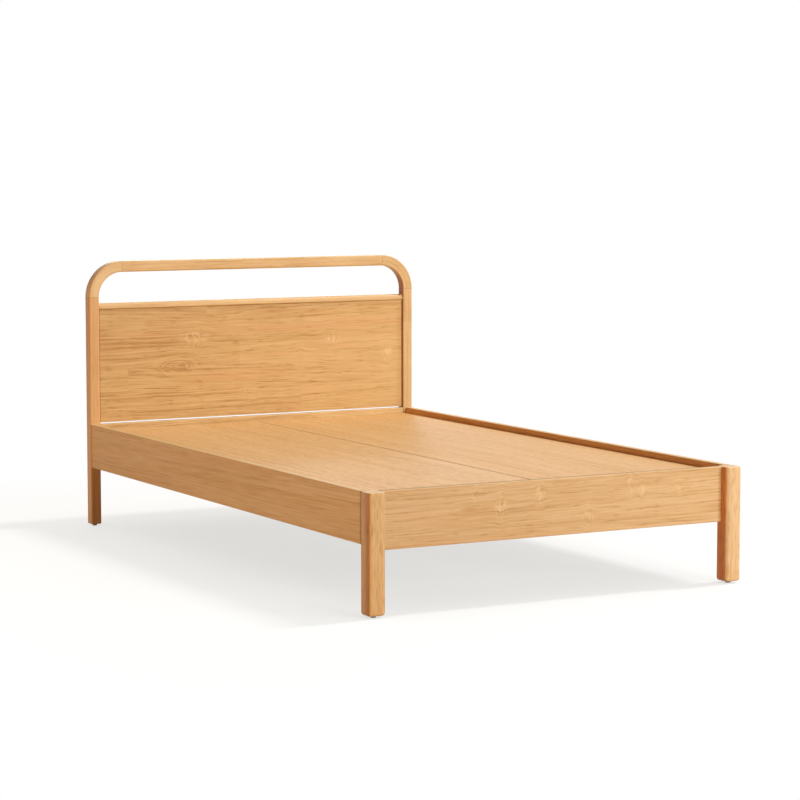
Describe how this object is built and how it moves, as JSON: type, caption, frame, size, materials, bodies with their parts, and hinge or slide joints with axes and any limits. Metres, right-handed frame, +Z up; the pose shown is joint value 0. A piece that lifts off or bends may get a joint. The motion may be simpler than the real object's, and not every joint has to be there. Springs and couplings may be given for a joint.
{
  "type": "bed",
  "caption": "Free-standing wooden bed with an open arched headboard over a solid panel, plain rails, rounded foot legs and a flat recessed deck that carries a mattress.",
  "frame": {"origin": "on the floor under the middle of the bed", "axes": "+X across the bed to the right as seen from the foot, +Y along the bed to the head, +Z up"},
  "size_m": [1.286, 2.1, 0.927],
  "materials": {
    "oiled_wood": "satin oil",
    "deck_wood": "satin veneer",
    "plain_wood": "planed, unfinished",
    "zinc_steel": "zinc plated",
    "glide_plastic": "matte"
  },
  "bodies": {
    "frame": {"arch_dowels": "plain_wood", "beam_hanger_foot": "zinc_steel", "beam_hanger_head": "zinc_steel", "centre_beam": "plain_wood", "centre_leg": "plain_wood", "centre_leg_stud": "zinc_steel", "cleat_screws": "zinc_steel", "cross_slat_1": "plain_wood", "cross_slat_2": "plain_wood", "cross_slat_3": "plain_wood", "cross_slat_4": "plain_wood", "cross_slat_5": "plain_wood", "cross_slat_6": "plain_wood", "foot_corner_dowels": "plain_wood", "foot_leg_left": "oiled_wood", "foot_leg_right": "oiled_wood", "foot_rail": "oiled_wood", "foot_rail_dowels": "plain_wood", "glide_centre": "glide_plastic", "glide_foot_left": "glide_plastic", "glide_foot_right": "glide_plastic", "glide_head_left": "glide_plastic", "glide_head_right": "glide_plastic", "hanger_screws": "zinc_steel", "head_corner_dowels": "plain_wood", "head_rail": "oiled_wood", "head_rail_dowels": "plain_wood", "headboard_bend_left": "oiled_wood", "headboard_bend_right": "oiled_wood", "headboard_panel": "oiled_wood", "headboard_panel_cap": "oiled_wood", "headboard_post_left": "oiled_wood", "headboard_post_right": "oiled_wood", "headboard_top_rail": "oiled_wood", "panel_dowels": "plain_wood", "rail_nuts": "zinc_steel", "rail_studs": "zinc_steel", "rail_washers": "zinc_steel", "side_cleat_left": "plain_wood", "side_cleat_right": "plain_wood", "side_rail_left": "oiled_wood", "side_rail_right": "oiled_wood", "slat_screws": "zinc_steel"},
    "deck_left": {"deck_board_left": "deck_wood"},
    "deck_right": {"deck_board_right": "deck_wood"}
  },
  "joints": [
    {"name": "deck_left_lift", "type": "slide", "parent": "frame", "child": "deck_left", "axis": [0, 0, 1], "range_m": [0, 0.15]},
    {"name": "deck_right_lift", "type": "slide", "parent": "frame", "child": "deck_right", "axis": [0, 0, 1], "range_m": [0, 0.15]}
  ]
}
